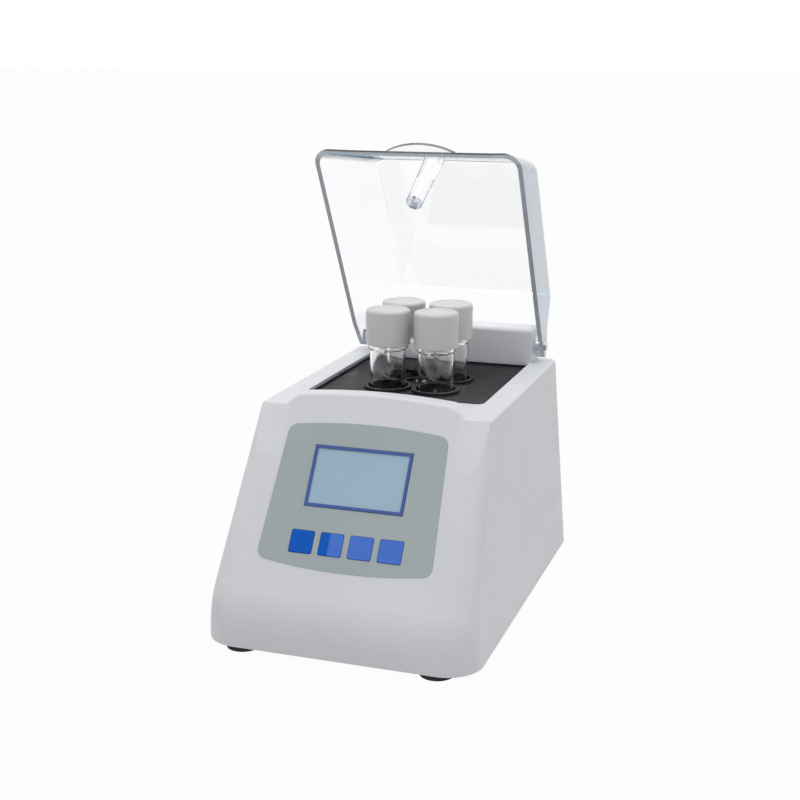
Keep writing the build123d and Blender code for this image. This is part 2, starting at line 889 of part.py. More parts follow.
# ================================================================ power board
power_board_under = tray_top + power_board_lift
power_board_top = power_board_under + board_thickness
with BuildPart() as power_board:
    with BuildSketch(Plane.XY.offset(power_board_under)):
        with Locations(power_middle):
            Rectangle(power_board_width, power_board_depth)
        with Locations(*[point[:2] for point in power_points]):
            Circle(hole_radius, mode=Mode.SUBTRACT)
    extrude(amount=board_thickness)
    with Locations((0, power_middle[1] - power_board_depth / 4, power_board_top)):
        Cylinder(
            capacitor_radius,
            capacitor_height,
            align=(Align.CENTER, Align.CENTER, Align.MIN),
        )
    with Locations((0, power_middle[1] + power_board_depth / 3, power_board_top)):
        Box(*chip_size, align=(Align.CENTER, Align.CENTER, Align.MIN))
save(power_board, "power_board")

with BuildPart() as transformer:
    core = (transformer_size[0], transformer_size[1] / 2, transformer_size[2])
    with Locations((-power_board_width / 4, power_middle[1], power_board_top)):
        Box(*core, align=(Align.CENTER, Align.CENTER, Align.MIN))
    with Locations(
        (-power_board_width / 4, power_middle[1], power_board_top + transformer_size[2] / 5)
    ):
        Box(
            transformer_size[0] * 0.6,
            transformer_size[1],
            transformer_size[2] * 0.6,
            align=(Align.CENTER, Align.CENTER, Align.MIN),
        )
save(transformer, "transformer")

with BuildPart() as relay:
    with Locations((power_board_width / 4, power_middle[1], power_board_top)):
        Box(*relay_size, align=(Align.CENTER, Align.CENTER, Align.MIN))
    fillet(relay.faces().sort_by(Axis.Z)[-1].edges(), key_corner)
save(relay, "relay")

with BuildPart() as power_standoffs:
    with BuildSketch(Plane.XY.offset(tray_top)):
        with Locations(*[point[:2] for point in power_points]):
            Circle(standoff_radius)
    extrude(amount=power_board_lift)
    with BuildSketch(Plane.XY.offset(power_board_under)):
        with Locations(*[point[:2] for point in power_points]):
            Circle(hole_radius)
    extrude(amount=-(screw_grip + seat_gap), mode=Mode.SUBTRACT)
save(power_standoffs, "power_standoffs")

power_screw = upside_down * screw(board_thickness + screw_grip)
with BuildPart() as power_board_screws:
    add(placed(power_screw, Plane.XY.offset(power_board_top), power_points))
save(power_board_screws, "power_board_screws")

# ================================================================ deck
with BuildPart() as deck_plate:
    with BuildSketch(Plane.XY.offset(deck_under)):
        with Locations((0, deck_middle)):
            Rectangle(2 * deck_half_width, deck_rear - deck_front)
    extrude(amount=deck_thickness)
    with BuildSketch(Plane.XY.offset(deck_top)):
        with Locations((0, rows_middle)):
            with GridLocations(vial_pitch, vial_pitch, 2, 2):
                Circle(deck_hole_radius + collar_width)
    extrude(amount=collar_height)
    collar_rims = deck_plate.faces().group_by(Axis.Z)[-1].edges()
    fillet(collar_rims, collar_edge)
    # Raised lip just inside the housing's opening
    lip_side = opening_half_width - deck_lip_gap
    lip_depth = opening_rear - opening_front - 2 * deck_lip_gap
    lip_corner = opening_corner - deck_lip_gap
    with BuildSketch(Plane.XY.offset(deck_top)):
        with Locations((0, opening_middle)):
            RectangleRounded(2 * lip_side, lip_depth, lip_corner)
            RectangleRounded(
                2 * (lip_side - deck_lip_width),
                lip_depth - 2 * deck_lip_width,
                lip_corner - deck_lip_width,
                mode=Mode.SUBTRACT,
            )
    extrude(amount=deck_lip_height)
    with BuildSketch(Plane.XY.offset(deck_under)):
        with Locations((0, rows_middle)):
            with GridLocations(vial_pitch, vial_pitch, 2, 2):
                Circle(deck_hole_radius)
            Circle(hole_radius)
        with Locations(*[point[:2] for point in deck_screw_points]):
            Circle(hole_radius)
    extrude(amount=deck_thickness + collar_height, mode=Mode.SUBTRACT)
save(deck_plate, "deck_plate")

deck_screw = screw(deck_thickness + top_wall / 2 - seat_gap)
with BuildPart() as deck_screws:
    add(placed(deck_screw, Plane.XY.offset(deck_under), deck_screw_points))
save(deck_screws, "deck_screws")

deck_centre_grip = deck_thickness + block_below_deck + screw_grip
with BuildPart() as deck_centre_screw:
    add(
        placed(
            upside_down * screw(deck_centre_grip),
            Plane.XY.offset(deck_top),
            [(0, rows_middle, 0)],
        )
    )
save(deck_centre_screw, "deck_centre_screw")

with BuildPart() as deck_spacer:
    with Locations((0, rows_middle, block_top)):
        Cylinder(
            spacer_radius,
            block_below_deck,
            align=(Align.CENTER, Align.CENTER, Align.MIN),
        )
        Cylinder(
            hole_radius,
            block_below_deck,
            align=(Align.CENTER, Align.CENTER, Align.MIN),
            mode=Mode.SUBTRACT,
        )
save(deck_spacer, "deck_spacer")

# ================================================================ heating unit
sensor_plane = Plane((0, jacket_rear + wall, sensor_height), x_dir=(-1, 0, 0), z_dir=(0, 1, 0))
with BuildPart() as heating_block:
    with Locations((0, rows_middle, block_bottom)):
        Box(
            block_side,
            block_side,
            block_top - block_bottom,
            align=(Align.CENTER, Align.CENTER, Align.MIN),
        )
    with BuildSketch(Plane.XY.offset(well_bottom)):
        with Locations((0, rows_middle)):
            with GridLocations(vial_pitch, vial_pitch, 2, 2):
                Circle(well_radius)
    extrude(amount=block_top - well_bottom, mode=Mode.SUBTRACT)
    with BuildSketch(Plane.XY.offset(block_top)):
        with Locations((0, rows_middle)):
            Circle(hole_radius)
    extrude(amount=-(screw_grip + seat_gap), mode=Mode.SUBTRACT)
    with BuildSketch(sensor_plane):
        Circle(sensor_radius + probe_gap)
    extrude(amount=-(sensor_length + probe_gap), mode=Mode.SUBTRACT)
save(heating_block, "heating_block")

with BuildPart() as heater_plate:
    with Locations((0, rows_middle, heater_bottom)):
        Box(
            block_side,
            block_side,
            heater_thickness,
            align=(Align.CENTER, Align.CENTER, Align.MIN),
        )
save(heater_plate, "heater_plate")

with BuildPart() as thermal_cutout:
    with Locations((0, rows_middle, heater_bottom)):
        Cylinder(
            cutout_radius, cutout_height, align=(Align.CENTER, Align.CENTER, Align.MAX)
        )
save(thermal_cutout, "thermal_cutout")

with BuildPart() as insulation_jacket:
    with Locations((0, rows_middle, jacket_bottom)):
        Box(
            jacket_side,
            jacket_side,
            block_top - jacket_bottom,
            align=(Align.CENTER, Align.CENTER, Align.MIN),
        )
    with Locations((0, rows_middle, heater_bottom)):
        Box(
            block_seat,
            block_seat,
            block_top - heater_bottom,
            align=(Align.CENTER, Align.CENTER, Align.MIN),
            mode=Mode.SUBTRACT,
        )
        Cylinder(
            cutout_radius + probe_gap,
            cutout_height,
            align=(Align.CENTER, Align.CENTER, Align.MAX),
            mode=Mode.SUBTRACT,
        )
    with BuildSketch(sensor_plane):
        Circle(sensor_radius + probe_gap)
    extrude(amount=-(wall + jacket_wall + seat_gap), mode=Mode.SUBTRACT)
save(insulation_jacket, "insulation_jacket")

with BuildPart() as temperature_sensor:
    with BuildSketch(sensor_plane):
        Circle(sensor_radius)
    extrude(amount=-sensor_length)
    with BuildSketch(sensor_plane):
        Circle(sensor_radius + probe_gap + standoff_radius / 2)
    extrude(amount=-(wall - moving_gap))
save(temperature_sensor, "temperature_sensor")

with BuildPart() as block_supports:
    with BuildSketch(Plane.XY.offset(tray_top)):
        with Locations(*[point[:2] for point in pillar_points]):
            Circle(pillar_radius)
    extrude(amount=jacket_bottom - tray_top)
    with BuildSketch(Plane.XY.offset(tray_top)):
        with Locations(*[point[:2] for point in pillar_points]):
            Circle(hole_radius)
    extrude(amount=screw_grip + seat_gap, mode=Mode.SUBTRACT)
save(block_supports, "block_supports")

# ================================================================ vials, caps
vial_inside = vial_radius - vial_wall
bottom_inside = vial_bottom + vial_wall
corner_inside = vial_corner - vial_wall
neck_inside = neck_radius - vial_wall
for number, (x, y, _) in enumerate(four_points(vial_pitch, vial_pitch, (0, rows_middle))):
    half_section = Plane((x, y, 0), x_dir=(1, 0, 0), z_dir=(0, -1, 0))
    centre_line = Axis((x, y, 0), (0, 0, 1))
    with BuildPart() as vial:
        with BuildSketch(half_section):
            with BuildLine():
                Line((0, vial_bottom), (vial_radius - vial_corner, vial_bottom))
                RadiusArc(
                    (vial_radius - vial_corner, vial_bottom),
                    (vial_radius, vial_bottom + vial_corner),
                    -vial_corner,
                )
                Polyline(
                    (vial_radius, vial_bottom + vial_corner),
                    (vial_radius, ring_bottom),
                    (ring_radius, ring_bottom),
                    (ring_radius, ring_top),
                    (neck_radius, ring_top),
                    (neck_radius, vial_top),
                    (neck_inside, vial_top),
                    (neck_inside, ring_bottom),
                    (vial_inside, ring_bottom - vial_wall),
                    (vial_inside, bottom_inside + corner_inside),
                )
                RadiusArc(
                    (vial_inside, bottom_inside + corner_inside),
                    (vial_inside - corner_inside, bottom_inside),
                    corner_inside,
                )
                Polyline(
                    (vial_inside - corner_inside, bottom_inside),
                    (0, bottom_inside),
                    (0, vial_bottom),
                )
            make_face()
        revolve(axis=centre_line)
    save(vial, f"vial_{number + 1}")

    with BuildPart() as cap:
        with BuildSketch(half_section):
            with BuildLine():
                Polyline(
                    (cap_bore, cap_bottom),
                    (cap_radius, cap_bottom),
                    (cap_radius, cap_top - cap_edge),
                )
                RadiusArc(
                    (cap_radius, cap_top - cap_edge),
                    (cap_radius - cap_edge, cap_top),
                    -cap_edge,
                )
                Polyline(
                    (cap_radius - cap_edge, cap_top),
                    (cap_dish_radius, cap_top),
                    (cap_dish_radius - cap_dish_depth, cap_top - cap_dish_depth),
                    (0, cap_top - cap_dish_depth),
                    (0, liner_top),
                    (cap_bore, liner_top),
                    (cap_bore, cap_bottom),
                )
            make_face()
        revolve(axis=centre_line)
    save(cap, f"cap_{number + 1}")

    with BuildPart() as cap_liner:
        with Locations((x, y, liner_bottom)):
            Cylinder(
                cap_bore - seat_gap,
                liner_thickness,
                align=(Align.CENTER, Align.CENTER, Align.MIN),
            )
    save(cap_liner, f"cap_liner_{number + 1}")

# ================================================================ hinge
block_front = front + opening_rear
with BuildPart() as hinge_block:
    with Locations((0, block_front + block_depth / 2, top)):
        Box(
            2 * block_half_width,
            block_depth,
            block_height,
            align=(Align.CENTER, Align.CENTER, Align.MIN),
        )
    fillet(hinge_block.faces().sort_by(Axis.Z)[-1].edges(), block_edge)
    with BuildSketch(Plane.XY.offset(top)):
        with Locations(*[point[:2] for point in hinge_screw_points]):
            Circle(hole_radius)
    extrude(amount=hinge_screw_grip + seat_gap, mode=Mode.SUBTRACT)
    for side in (-1, 1):
        with BuildSketch(Plane.YZ.offset(side * block_half_width)):
            with Locations((hinge.Y, hinge.Z)):
                Circle(bush_radius + seat_gap)
        extrude(amount=-side * bush_length, mode=Mode.SUBTRACT)
save(hinge_block, "hinge_block")

hinge_screw = screw(top_wall + hinge_screw_grip)
with BuildPart() as hinge_block_screws:
    add(placed(hinge_screw, Plane.XY.offset(deck_top), hinge_screw_points))
save(hinge_block_screws, "hinge_block_screws")

ear_outside = lid_half_width - lid_side_taper * (rim_below_hinge - pin_head_radius)
with BuildPart() as hinge_bushes:
    for side in (-1, 1):
        with BuildSketch(Plane.YZ.offset(side * block_half_width)):
            with Locations((hinge.Y, hinge.Z)):
                Circle(bush_flange_radius)
        extrude(amount=side * bush_flange_thickness)
        with BuildSketch(Plane.YZ.offset(side * block_half_width)):
            with Locations((hinge.Y, hinge.Z)):
                Circle(bush_radius)
        extrude(amount=-side * (bush_length - seat_gap))
        with BuildSketch(Plane.YZ.offset(side * (block_half_width - bush_length))):
            with Locations((hinge.Y, hinge.Z)):
                Circle(pin_radius + pin_running_gap)
        extrude(amount=side * (bush_length + bush_flange_thickness), mode=Mode.SUBTRACT)
save(hinge_bushes, "hinge_bushes")

with BuildPart() as hinge_pins:
    for side in (-1, 1):
        with BuildSketch(Plane.YZ.offset(side * (block_half_width - pin_inner_reach))):
            with Locations((hinge.Y, hinge.Z)):
                Circle(pin_radius)
        extrude(amount=side * (ear_outside + pin_head_thickness - block_half_width
                               + pin_inner_reach))
        with BuildSketch(Plane.YZ.offset(side * ear_outside)):
            with Locations((hinge.Y, hinge.Z)):
                Circle(pin_head_radius)
        extrude(amount=side * pin_head_thickness)
save(hinge_pins, "hinge_pins")

# ================================================================ lid
ear_extra = ear_radius - lid_rear
lid_outer = lid_block(0.0, lid_rim, lid_top, ear_extra)
lid_inner = lid_block(lid_wall, lid_rim - lid_wall, lid_top - lid_wall, 2 * ear_extra)
ear_seat = block_half_width + bush_flange_thickness + moving_gap
ear_middle = lid_half_width - lid_side_taper * rim_below_hinge - lid_wall / 2

with BuildPart() as lid_form:
    add(lid_outer)
    # Finger tab at the front edge
    with BuildSketch(Plane.XY.offset(lid_rim + tab_rise)):
        with BuildLine():
            ThreePointArc(
                (-tab_half_width, -tab_foot), (0, -tab_reach), (tab_half_width, -tab_foot)
            )
            Polyline(
                (tab_half_width, -tab_foot),
                (tab_half_width, -tab_foot + 2 * lid_wall),
                (-tab_half_width, -tab_foot + 2 * lid_wall),
                (-tab_half_width, -tab_foot),
            )
        make_face()
    extrude(amount=tab_thickness)
    add(lid_inner, mode=Mode.SUBTRACT)
    # Ears round the hinge pins
    with BuildSketch(Plane.YZ.offset(-lid_half_width)):
        with Locations((-ear_relief, lid_rim)):
            Rectangle(
                ear_relief + 2 * ear_radius,
                2 * lid_height,
                align=(Align.MIN, Align.CENTER),
            )
        add(ear_side(), mode=Mode.SUBTRACT)
    extrude(amount=2 * lid_half_width, mode=Mode.SUBTRACT)
    for side in (-1, 1):
        with BuildSketch(Plane.YZ.offset(side * ear_seat)):
            Circle(ear_radius)
        extrude(amount=side * (ear_middle - ear_seat))
    with BuildSketch(Plane.YZ.offset(-lid_half_width)):
        Circle(pin_radius + seat_gap)
    extrude(amount=2 * lid_half_width, mode=Mode.SUBTRACT)
    # Notch that passes over the brow when the lid is shut
    notch_start = max(lid_reach, tab_reach) + wall
    with BuildSketch(
        Plane((0, -notch_start, -hinge_rise), x_dir=(1, 0, 0), z_dir=(0, -1, 0))
    ):
        add(brow_profile(rim_gap - wall, lid_gap))
    extrude(amount=-(notch_start - lid_reach / 2), mode=Mode.SUBTRACT)

with BuildPart() as lid_shell:
    add(lid_frame.location * lid_form.part)
save(lid_shell, "lid_shell")

with BuildPart() as post_form:
    with Locations((post_offset, -post_from_hinge, lid_rim + post_tip_gap)):
        Cone(
            post_radius,
            post_base_radius,
            lid_height,
            align=(Align.CENTER, Align.CENTER, Align.MIN),
        )
    add(lid_inner, mode=Mode.INTERSECT)

with BuildPart() as lid_post:
    add(lid_frame.location * post_form.part)
save(lid_post, "lid_post")

# ================================================================ mains inlet
inlet_plane = Plane(
    (inlet_place[0], rear, base + inlet_place[1]), x_dir=(-1, 0, 0), z_dir=(0, 1, 0)
)
contact_points = [(-contact_spread, -contact_drop), (contact_spread, -contact_drop),
                  (0, contact_drop)]
contact_tip = inlet_flange_thickness - inlet_socket_depth + contact_length
tail_end = inlet_depth + tail_length
with BuildPart() as power_inlet:
    with BuildSketch(inlet_plane):
        RectangleRounded(*inlet_flange, wall)
        with GridLocations(inlet_screw_pitch, 1, 2, 1):
            Circle(hole_radius, mode=Mode.SUBTRACT)
    extrude(amount=inlet_flange_thickness)
    with BuildSketch(inlet_plane):
        Rectangle(inlet_body[0] - 2 * seat_gap, inlet_body[1] - 2 * seat_gap)
    extrude(amount=-inlet_depth)
    with BuildSketch(inlet_plane.offset(inlet_flange_thickness)) as mouth:
        Rectangle(*inlet_socket)
        chamfer(mouth.vertices().group_by(Axis.Y)[-1], socket_chamfer)
    extrude(amount=-inlet_socket_depth, mode=Mode.SUBTRACT)
    with BuildSketch(inlet_plane.offset(-inlet_depth)):
        with Locations(*contact_points):
            Rectangle(contact_size[0] + 2 * seat_gap, contact_size[1] + 2 * seat_gap)
    extrude(amount=inlet_depth, mode=Mode.SUBTRACT)
save(power_inlet, "power_inlet")

with BuildPart() as inlet_contacts:
    with BuildSketch(inlet_plane.offset(-tail_end)):
        with Locations(*contact_points):
            Rectangle(*contact_size)
    extrude(amount=tail_end + contact_tip)
save(inlet_contacts, "inlet_contacts")

inlet_screw = upside_down * screw(inlet_flange_thickness + wall + screw_grip)
with BuildPart() as inlet_screws:
    add(
        placed(
            inlet_screw,
            inlet_plane.offset(inlet_flange_thickness),
            [(x * inlet_screw_pitch / 2, 0, 0) for x in (-1, 1)],
        )
    )
save(inlet_screws, "inlet_screws")

# ================================================================ mains switch
switch_plane = Plane(
    (switch_place[0], rear, base + switch_place[1]), x_dir=(-1, 0, 0), z_dir=(0, 1, 0)
)
tilt = radians(rocker_tilt)
pivot = Vector(switch_place[0], rear + seat_gap, base + switch_place[1])
rocker_plane = Plane(pivot, x_dir=(0, sin(tilt), cos(tilt)), z_dir=(-1, 0, 0))
rocker_half = (rocker_size[0] / 2, rocker_size[1] / 2)
pocket = (rocker_size[0] + 2 * rocker_gap, rocker_size[1] + 2 * rocker_gap)
pin_pocket = rocker_half[0] + rocker_gap + rocker_pin_radius
with BuildPart() as switch_body_part:
    with BuildSketch(switch_plane):
        RectangleRounded(*switch_flange, key_corner)
    extrude(amount=switch_bezel_thickness)
    with BuildSketch(switch_plane):
        Rectangle(switch_body[0] - 2 * seat_gap, switch_body[1] - 2 * seat_gap)
    extrude(amount=-switch_depth)
    with BuildSketch(switch_plane.offset(switch_bezel_thickness)):
        Rectangle(*pocket)
    extrude(amount=-(switch_bezel_thickness + rocker_floor), mode=Mode.SUBTRACT)
    with BuildSketch(Plane(pivot, x_dir=(0, 1, 0), z_dir=(1, 0, 0))):
        Circle(rocker_pin_radius + pin_running_gap)
    extrude(amount=pin_pocket, both=True, mode=Mode.SUBTRACT)
    with BuildSketch(switch_plane.offset(-switch_depth)):
        with GridLocations(1, contact_spread, 1, 2):
            Rectangle(contact_size[1], board_thickness)
    extrude(amount=-tail_length)
save(switch_body_part, "switch_body")

with BuildPart() as rocker:
    with BuildSketch(rocker_plane):
        with BuildLine():
            Polyline(
                (-rocker_half[1], rocker_proud),
                (0, rocker_valley),
                (rocker_half[1], rocker_proud),
                (rocker_half[1], -rocker_valley),
                (rocker_half[1] / 2, -rocker_depth),
                (-rocker_half[1] / 2, -rocker_depth),
                (-rocker_half[1], -rocker_valley),
                close=True,
            )
        make_face()
    extrude(amount=rocker_half[0], both=True)
    with BuildSketch(rocker_plane):
        Circle(rocker_pin_radius)
    extrude(amount=pin_pocket - moving_gap, both=True)
save(rocker, "rocker")
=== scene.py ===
import math

import bpy
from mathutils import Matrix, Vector


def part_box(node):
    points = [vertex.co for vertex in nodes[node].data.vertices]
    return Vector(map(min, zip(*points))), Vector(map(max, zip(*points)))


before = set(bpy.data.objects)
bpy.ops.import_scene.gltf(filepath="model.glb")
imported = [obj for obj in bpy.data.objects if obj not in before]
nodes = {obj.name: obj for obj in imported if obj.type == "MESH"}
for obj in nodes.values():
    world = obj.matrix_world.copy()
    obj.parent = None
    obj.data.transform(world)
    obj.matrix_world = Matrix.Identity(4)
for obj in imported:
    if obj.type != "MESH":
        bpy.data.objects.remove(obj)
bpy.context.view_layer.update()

FRONT = -0.172626  # row Y of the housing's front edge
FLOOR_GAP = 0.004  # height of the feet
OPEN_ANGLE = math.radians(60.8)  # of the lid at rest
FRONT_RAKE = math.radians(35.4)  # of the lid's front wall
HINGE = Vector((0, 0.2816 + FRONT, 0.1666 + FLOOR_GAP))


# ------------------------------------------------------------------ shaders
class Shader:
    """A material whose node tree is built step by step."""

    def __init__(self, name):
        self.material = bpy.data.materials.new(name)
        self.material.use_nodes = True
        self.tree = self.material.node_tree
        self.bsdf = self.tree.nodes["Principled BSDF"]
        own = self.tree.nodes.new("ShaderNodeTexCoord")
        self.place = own.outputs["Object"]
        self.turned = own.outputs["Normal"]

    def node(self, kind, **values):
        made = self.tree.nodes.new("ShaderNode" + kind)
        for key, value in values.items():
            if key in made.inputs:
                made.inputs[key].default_value = value
            else:
                setattr(made, key, value)
        return made

    def link(self, out, into):
        self.tree.links.new(out, into)

    def set(self, **values):
        for key, value in values.items():
            self.bsdf.inputs[key.replace("_", " ")].default_value = value
        return self

    def noise(self, scale, detail=3.0, rough=0.55, stretch=None, distortion=0.0):
        made = self.node("TexNoise", Scale=scale, Detail=detail, Roughness=rough)
        made.inputs["Distortion"].default_value = distortion
        source = self.place
        if stretch:
            mapping = self.node("Mapping")
            mapping.inputs["Scale"].default_value = stretch
            self.link(source, mapping.inputs["Vector"])
            source = mapping.outputs["Vector"]
        self.link(source, made.inputs["Vector"])
        return made.outputs["Fac"]

    def spread(self, value, low, high, start=0.0, end=1.0):
        made = self.node("MapRange")
        for key, number in zip(("From Min", "From Max", "To Min", "To Max"),
                               (start, end, low, high)):
            made.inputs[key].default_value = number
        self.link(value, made.inputs["Value"])
        return made.outputs["Result"]

    def mix(self, factor, first, second):
        made = self.node("Mix", data_type="RGBA")
        self.link(factor, made.inputs[0])
        for socket, value in ((made.inputs[6], first), (made.inputs[7], second)):
            if isinstance(value, tuple):
                socket.default_value = (*value, 1.0)
            else:
                self.link(value, socket)
        return made.outputs[2]

    def math(self, operation, first, second=0.0):
        made = self.node("Math", operation=operation)
        for socket, value in ((made.inputs[0], first), (made.inputs[1], second)):
            if isinstance(value, (int, float)):
                socket.default_value = value
            else:
                self.link(value, socket)
        return made.outputs["Value"]

    def facing(self, direction, source=None):
        """How far the surface, in the piece's own frame, faces a direction."""
        dot = self.node("VectorMath", operation="DOT_PRODUCT")
        dot.inputs[1].default_value = direction
        self.link(source or self.turned, dot.inputs[0])
        return dot.outputs["Value"]

    def along(self, direction, origin=(0, 0, 0)):
        """Distance of the surface point from origin along a direction."""
        shift = self.node("VectorMath", operation="SUBTRACT")
        shift.inputs[1].default_value = origin
        self.link(self.place, shift.inputs[0])
        return self.facing(direction, shift.outputs["Vector"])

    def bump(self, height, distance):
        made = self.node("Bump", Distance=distance, Strength=1.0)
        self.link(height, made.inputs["Height"])
        return made.outputs["Normal"]

    def edge_mask(self, radius):
        """One along outer edges, nought on flat stretches."""
        bevel = self.node("Bevel", samples=4)
        bevel.inputs["Radius"].default_value = radius
        normal = self.tree.nodes.new("ShaderNodeNewGeometry").outputs["Normal"]
        dot = self.node("VectorMath", operation="DOT_PRODUCT")
        self.link(bevel.outputs["Normal"], dot.inputs[0])
        self.link(normal, dot.inputs[1])
        return self.spread(dot.outputs["Value"], 1.0, 0.0, 0.80, 0.995)

    def color(self, source):
        self.link(source, self.bsdf.inputs["Base Color"])

    def rough(self, source):
        self.link(source, self.bsdf.inputs["Roughness"])

    def normal(self, source):
        self.link(source, self.bsdf.inputs["Normal"])


def moulded(name, color, rough=0.4, grain=1400.0, depth=0.00002, mottle=0.03,
            edge=None, edge_radius=0.0006, coat=0.0):
    """Moulded plastic: fine spark texture, faint flow mottling, and a painted highlight along
    the outer edges where an edge colour is given.
    """
    s = Shader(name)
    dark = tuple(c * (1 - mottle) for c in color)
    light = tuple(min(1.0, c * (1 + mottle)) for c in color)
    base = s.mix(s.spread(s.noise(16.0, 4.0), 0.0, 1.0, 0.3, 0.7), dark, light)
    # Painted highlight: the lighter edge colour laid along the outer edges.
    if edge:
        base = s.mix(s.math("MULTIPLY", s.edge_mask(edge_radius), 0.5), base, edge)
    s.color(base)
    fine = s.noise(grain, 2.0, 0.5)
    s.rough(s.spread(s.noise(90.0, 3.0), rough - 0.06, rough + 0.06, 0.3, 0.7))
    s.normal(s.bump(fine, depth))
    if coat:
        s.set(Coat_Weight=coat, Coat_Roughness=0.12)
    return s.material


def metal(name, color, rough=0.3, stretch=(40.0, 40.0, 900.0)):
    """Bare metal with a drawn or turned grain."""
    depth, tint = 0.00001, 0.08
    s = Shader(name)
    grain = s.noise(1.0, 4.0, 0.6, stretch)
    base = s.mix(grain, tuple(c * (1 - tint) for c in color), color)
    s.color(base)
    s.rough(s.spread(grain, rough - 0.08, rough + 0.1, 0.3, 0.7))
    s.normal(s.bump(grain, depth))
    s.set(Metallic=1.0)
    return s.material


def dress(material, *names):
    for name in names:
        data = nodes[name].data
        data.materials.clear()
        data.materials.append(material)


HOUSING = (0.67, 0.68, 0.708)
# The housing's edge colour is a painted highlight.
dress(moulded("housing_plastic", HOUSING, 0.42, edge=(0.76, 0.77, 0.795)), "housing")
dress(moulded("hinge_plastic", (0.75, 0.76, 0.785), 0.42), "hinge_block")
dress(moulded("bush_plastic", (0.60, 0.61, 0.63), 0.35), "hinge_bushes")


def panel_film():
    """Printed satin film over the recess: even grey green, leathery fine texture."""
    s = Shader("panel_film")
    wide = s.spread(s.noise(9.0, 2.0), 0.0, 1.0, 0.35, 0.65)
    base = s.mix(wide, (0.345, 0.40, 0.41), (0.365, 0.42, 0.43))
    s.color(base)
    fine = s.noise(2200.0, 2.0, 0.5)
    s.rough(s.spread(s.noise(200.0, 2.0), 0.42, 0.52, 0.3, 0.7))
    s.normal(s.bump(fine, 0.000015))
    return s.material


def display_face():
    """Pale blue liquid crystal under a clear sheet, with its faint dot grid."""
    s = Shader("display_face")
    split = s.node("SeparateXYZ")
    s.link(s.place, split.inputs[0])
    across = s.math("PINGPONG", s.math("MULTIPLY", split.outputs["X"], 1 / 0.0005), 1.0)
    up = s.math("PINGPONG", s.math("MULTIPLY", split.outputs["Z"], 1 / 0.0004), 1.0)
    line = s.math("MAXIMUM", s.spread(across, 0.0, 1.0, 0.82, 1.0),
                  s.spread(up, 0.0, 1.0, 0.82, 1.0))
    wide = s.spread(s.noise(14.0, 2.0), 0.0, 1.0, 0.35, 0.65)
    base = s.mix(wide, (0.29, 0.45, 0.57), (0.31, 0.47, 0.59))
    base = s.mix(s.math("MULTIPLY", line, 0.12), base, (0.17, 0.29, 0.42))
    s.color(base)
    s.rough(s.spread(s.noise(60.0), 0.30, 0.38, 0.3, 0.7))
    s.set(Coat_Weight=0.6, Coat_Roughness=0.08)
    return s.material


def key_face(name, color, second=None, split_at=0.0):
    """Printed key: satin plastic, a second tone right of a line where it has one."""
    s = Shader(name)
    base = s.mix(s.spread(s.noise(40.0), 0.0, 1.0, 0.3, 0.7),
                 tuple(c * 0.96 for c in color), color)
    if second:
        side = s.spread(s.along((1.0, 0.0, 0.0), (split_at, 0, 0)), 0.0, 1.0, -0.0006, 0.0006)
        base = s.mix(side, base, second)
    s.color(base)
    s.rough(s.spread(s.noise(300.0), 0.36, 0.44, 0.3, 0.7))
    s.normal(s.bump(s.noise(2200.0, 2.0), 0.000012))
    s.set(Specular_IOR_Level=0.12)
    return s.material


DEEP, BLUE = (0.004, 0.105, 0.53), (0.07, 0.185, 0.64)
dress(panel_film(), "panel_overlay")
dress(moulded("display_frame", (0.032, 0.088, 0.32), 0.35, mottle=0.05, coat=0.1),
      "display_bezel")
dress(display_face(), "display_glass")
dress(key_face("key_deep_blue", DEEP), "key_1")
low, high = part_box("key_2")
dress(key_face("key_two_blues", DEEP, BLUE, low.x + 0.43 * (high.x - low.x)), "key_2")
dress(key_face("key_blue", BLUE), "key_3", "key_4")


def powder_coat(name, color, rough=0.5, shine=0.5):
    """Powder coat: orange-peel skin, darker pores and a painted highlight along the outer
    edges.
    """
    s = Shader(name)
    peel = s.noise(900.0, 3.0, 0.6)
    base = s.mix(s.spread(peel, 0.0, 1.0, 0.35, 0.65),
                 tuple(c * 0.8 for c in color), tuple(c * 1.15 for c in color))
    # Painted highlight: a much lighter colour along the outer edges.
    base = s.mix(s.math("MULTIPLY", s.edge_mask(0.0005), 0.35), base,
                 tuple(min(1, c * 2.2) for c in color))
    s.color(base)
    s.rough(s.spread(s.noise(25.0), rough - 0.08, rough + 0.08, 0.3, 0.7))
    s.normal(s.bump(peel, 0.00004))
    s.set(Specular_IOR_Level=shine)
    return s.material


# The deck and the tray both carry the painted edge highlight.
dress(powder_coat("deck_metal", (0.021, 0.022, 0.024), 0.32, 0.045), "deck_plate")
dress(powder_coat("tray_metal", (0.45, 0.46, 0.47), 0.5), "base_tray")
# The caps' edge colour is a painted highlight on their rims.
dress(moulded("cap_plastic", (0.56, 0.56, 0.565), 0.34, depth=0.000012,
              edge=(0.70, 0.70, 0.71), edge_radius=0.001),
      *[f"cap_{n}" for n in range(1, 5)])
dress(moulded("foot_rubber", (0.012, 0.012, 0.013), 0.75, 700.0, 0.00006, 0.2), "feet")
